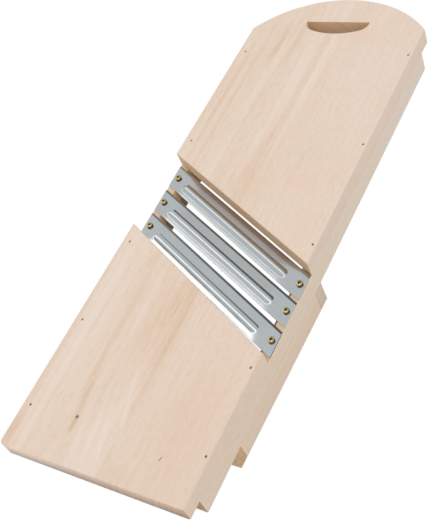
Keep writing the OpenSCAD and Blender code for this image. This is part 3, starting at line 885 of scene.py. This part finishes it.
# Painted shade on the side of the head and in the recess
PAINTED_RIM_SHADE, PAINTED_RECESS_SHADE = rgb(0.20, 0.15, 0.06), rgb(0.07, 0.045, 0.02)
ZINC_SMOOTH, ZINC_ROUGH = 0.30, 0.45
SHADED_METALLIC = 0.2
RUST = (900, 900, 900)
DARK_WIRE, RUSTY_WIRE = rgb(0.09, 0.055, 0.032), rgb(0.18, 0.11, 0.065)
WIRE_SMOOTH, WIRE_ROUGH = 0.45, 0.7
WIRE_METALLIC = 0.5


def screw_zinc(node):
    crown = middle(node)
    crown.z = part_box(node)[1].z
    material, tree, shader, place = start_material(f"zinc_{node}")
    spot = parts(tree, shift(tree, place["Object"], tuple(-c for c in crown)))
    radius = calc(tree, "SQRT", squares(tree, spot["X"], spot["Y"]))
    deep = fall(tree, spot["Z"], SHADE_DEEP_Z, SHADE_SHALLOW_Z)
    near = fall(tree, radius, RECESS_R, RECESS_R + RECESS_SOFT)
    # Painted shade in the recess
    recess_shade = calc(tree, "MULTIPLY", deep, near)
    tarnish = noise(tree, place["Object"], TARNISH)
    zinc = mix(tree, rise(tree, tarnish, TARNISH_FROM, TARNISH_TO), ZINC, TARNISHED)
    # Painted shade on the side of the head
    zinc = mix(tree, rise(tree, radius, RIM_FROM, RIM_TO), zinc, PAINTED_RIM_SHADE)
    tree.links.new(mix(tree, recess_shade, zinc, PAINTED_RECESS_SHADE), shader.inputs["Base Color"])
    tree.links.new(rise(tree, tarnish, DULL_FROM, DULL_TO, ZINC_SMOOTH, ZINC_ROUGH),
                   shader.inputs["Roughness"])
    tree.links.new(rise(tree, recess_shade, 0.0, 1.0, 1.0, SHADED_METALLIC), shader.inputs["Metallic"])
    return material


nail_steel, tree, shader, place = start_material("nail_steel")
rust = noise(tree, place["Object"], RUST, detail=3.0, roughness=0.6)
tree.links.new(mix(tree, rust, DARK_WIRE, RUSTY_WIRE), shader.inputs["Base Color"])
tree.links.new(rise(tree, rust, DULL_FROM, DULL_TO, WIRE_SMOOTH, WIRE_ROUGH),
               shader.inputs["Roughness"])
shader.inputs["Metallic"].default_value = WIRE_METALLIC
print(nail_steel.name, len(tree.nodes), "nodes")

# %% [markdown]
# ## Dressing the pieces
#
# Each piece takes one material.

# %% Give out the materials
SCREWS = [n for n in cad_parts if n.endswith("_screw")]
NAILS = [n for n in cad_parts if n.endswith("_nails")]


def dress(piece, material):
    piece.data.materials.clear()
    piece.data.materials.append(material)


for piece in boards.values():
    dress(piece, board_beech)
for node, piece in sticks.items():
    if "rail" in node:
        dress(piece, rail_beech)
    elif "strip" in node:
        dress(piece, foot_beech)
    else:
        dress(piece, cross_beech if node == "foot_crossbar" else block_beech)
for node in BLADES:
    dress(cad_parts[node], blade_steels[node])
for node in SCREWS:
    dress(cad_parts[node], screw_zinc(node))
for node in NAILS:
    dress(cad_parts[node], nail_steel)
print("dressed", len(SCREWS), "screws and", len(NAILS), "rows of nails")

# %% [markdown]
# ## Studio floor
#
# A catalogue picture stands on pure white. The floor is a plain pale sheet that sends soft light
# up to the sides. Only the camera looks through it, to a sky that is pure white for the camera. A
# Light Path node tells the camera's rays from the others.

# %% Floor
FLOOR_SIZE = 8.0
FLOOR_GAP = 0.2 * MM
FLOOR_GREY, FLOOR_ROUGHNESS = rgb(0.84, 0.84, 0.84), 0.9


def for_camera(tree, plain, seen, output):
    """Let the camera see one shader, and every other ray the plain one."""
    path = tree.nodes.new("ShaderNodeLightPath")
    choice = tree.nodes.new("ShaderNodeMixShader")
    tree.links.new(path.outputs["Is Camera Ray"], choice.inputs[0])
    tree.links.new(plain, choice.inputs[1])
    tree.links.new(seen, choice.inputs[2])
    tree.links.new(choice.outputs[0], output)


form = bmesh.new()
bmesh.ops.create_grid(form, x_segments=1, y_segments=1, size=FLOOR_SIZE / 2,
                      matrix=Matrix.Translation((0, 0, -FLOOR_GAP)))
mesh = bpy.data.meshes.new("floor")
form.to_mesh(mesh)
form.free()
floor = bpy.data.objects.new("floor", mesh)
bpy.context.scene.collection.objects.link(floor)

paper = bpy.data.materials.new("floor_paper")
paper.use_nodes = True
tree = paper.node_tree
shader = tree.nodes["Principled BSDF"]
shader.inputs["Base Color"].default_value = FLOOR_GREY
shader.inputs["Roughness"].default_value = FLOOR_ROUGHNESS
shader.inputs["Specular IOR Level"].default_value = 0.0
clear = tree.nodes.new("ShaderNodeBsdfTransparent")
for_camera(tree, shader.outputs[0], clear.outputs[0],
           tree.nodes["Material Output"].inputs["Surface"])
floor.data.materials.append(paper)
print("floor", FLOOR_SIZE, "m wide")

# %% [markdown]
# ## Sky
#
# For the light, the sky is an even grey. For mirrors its far side is dark, which gives the steel
# its contrast. One long strip light hangs above the blades and runs along them, and draws the
# bright lines on the beads. A lamp with a hard edge sparkles in rough steel, so mirrors see the
# strip as a band of the sky with soft edges.

# %% Sky
STRIP_HALF_ANGLE = math.radians(5)
STRIP_SOFT = math.radians(2.5)
STRIP_LEAN = math.radians(-0.5)
STRIP_RADIANCE = 1.9
STRIP_WHITE = rgb(STRIP_RADIANCE, STRIP_RADIANCE, STRIP_RADIANCE)
SKY_GREY = rgb(0.84, 0.845, 0.85)
NEAR_SIDE, FAR_SIDE = rgb(0.70, 0.715, 0.72), rgb(0.135, 0.132, 0.13)
FAR_FROM, FAR_TO = 0.46, 0.62
HORIZON = 0.01
bay_centre, bay_slant = blade_frame("middle_blade")
across_bay = Vector((math.sin(bay_slant), math.cos(bay_slant), 0))
sky = bpy.data.worlds.new("studio")
sky.use_nodes = True
tree = sky.node_tree
direction = tree.nodes.new("ShaderNodeTexCoord").outputs["Generated"]
far = vector_calc(tree, "DOT_PRODUCT", direction, across_bay)
up = calc(tree, "MAXIMUM", parts(tree, direction)["Z"], HORIZON)
off_strip = calc(tree, "SUBTRACT", calc(tree, "DIVIDE", far, up), math.tan(STRIP_LEAN))
in_strip = fall(tree, calc(tree, "ABSOLUTE", off_strip), math.tan(STRIP_HALF_ANGLE - STRIP_SOFT),
                math.tan(STRIP_HALF_ANGLE + STRIP_SOFT))
mirrored = mix(tree, rise(tree, far, FAR_FROM, FAR_TO), NEAR_SIDE, FAR_SIDE)
mirrored = mix(tree, in_strip, mirrored, STRIP_WHITE)
for_mirrors = tree.nodes.new("ShaderNodeLightPath").outputs["Is Glossy Ray"]
grey = tree.nodes["Background"]
tree.links.new(mix(tree, for_mirrors, SKY_GREY, mirrored), grey.inputs["Color"])
white = tree.nodes.new("ShaderNodeBackground")
white.inputs["Color"].default_value = PLAIN
for_camera(tree, grey.outputs[0], white.outputs[0], tree.nodes["World Output"].inputs["Surface"])
bpy.context.scene.world = sky
print(sky.name, len(tree.nodes), "nodes")

# %% [markdown]
# ## Strip light
#
# The lamp itself lights the wood, and neither the camera nor a mirror sees it. It is as wide as
# the band in the sky, and as strong.

# %% Strip light
STRIP_HEIGHT = 1.5
STRIP_LENGTH = 3.0
strip = bpy.data.lights.new("overhead_strip", "AREA")
strip.shape = "RECTANGLE"
strip.size = STRIP_LENGTH
strip.size_y = 2 * STRIP_HEIGHT * math.tan(STRIP_HALF_ANGLE)
strip.energy = STRIP_RADIANCE * math.pi * strip.size * strip.size_y
lamp = bpy.data.objects.new("overhead_strip", strip)
above = Vector((0, 0, STRIP_HEIGHT)) + across_bay * STRIP_HEIGHT * math.tan(STRIP_LEAN)
lamp.location = bay_centre + above
lamp.rotation_euler = (0, 0, -bay_slant)
lamp.visible_camera = False
lamp.visible_glossy = False
bpy.context.scene.collection.objects.link(lamp)
print("strip light", round(strip.energy, 2), "W")

# %% [markdown]
# ## Camera
#
# The picture looks down on the board from the lower right, with the camera rolled, so that the
# board runs up to the right across the frame. The lens is worked out for the long side of the
# frame.

# %% Camera
CAMERA_AT = Vector((440.8, -441.3, 690.4)) * MM
CAMERA_LOOKS_AT = Vector((7.06, -60.66, 59.5)) * MM
CAMERA_ROLL = math.radians(28.02)
CAMERA_NEAREST = 0.01
FRAME_LONG_SIDE = 520
FOCAL_PIXELS = 1003.5
SENSOR = 36.0

camera_data = bpy.data.cameras.new("camera")
camera_data.sensor_width = SENSOR
camera_data.lens = FOCAL_PIXELS * SENSOR / FRAME_LONG_SIDE
camera_data.clip_start = CAMERA_NEAREST
camera = bpy.data.objects.new("camera", camera_data)
camera.location = CAMERA_AT
aim = (CAMERA_LOOKS_AT - CAMERA_AT).to_track_quat("-Z", "Y")
camera.rotation_euler = (aim @ Quaternion((0, 0, 1), -CAMERA_ROLL)).to_euler()
bpy.context.scene.collection.objects.link(camera)
bpy.context.scene.camera = camera
bpy.context.scene.view_settings.view_transform = "Standard"
print("lens", round(camera_data.lens, 2), "mm")
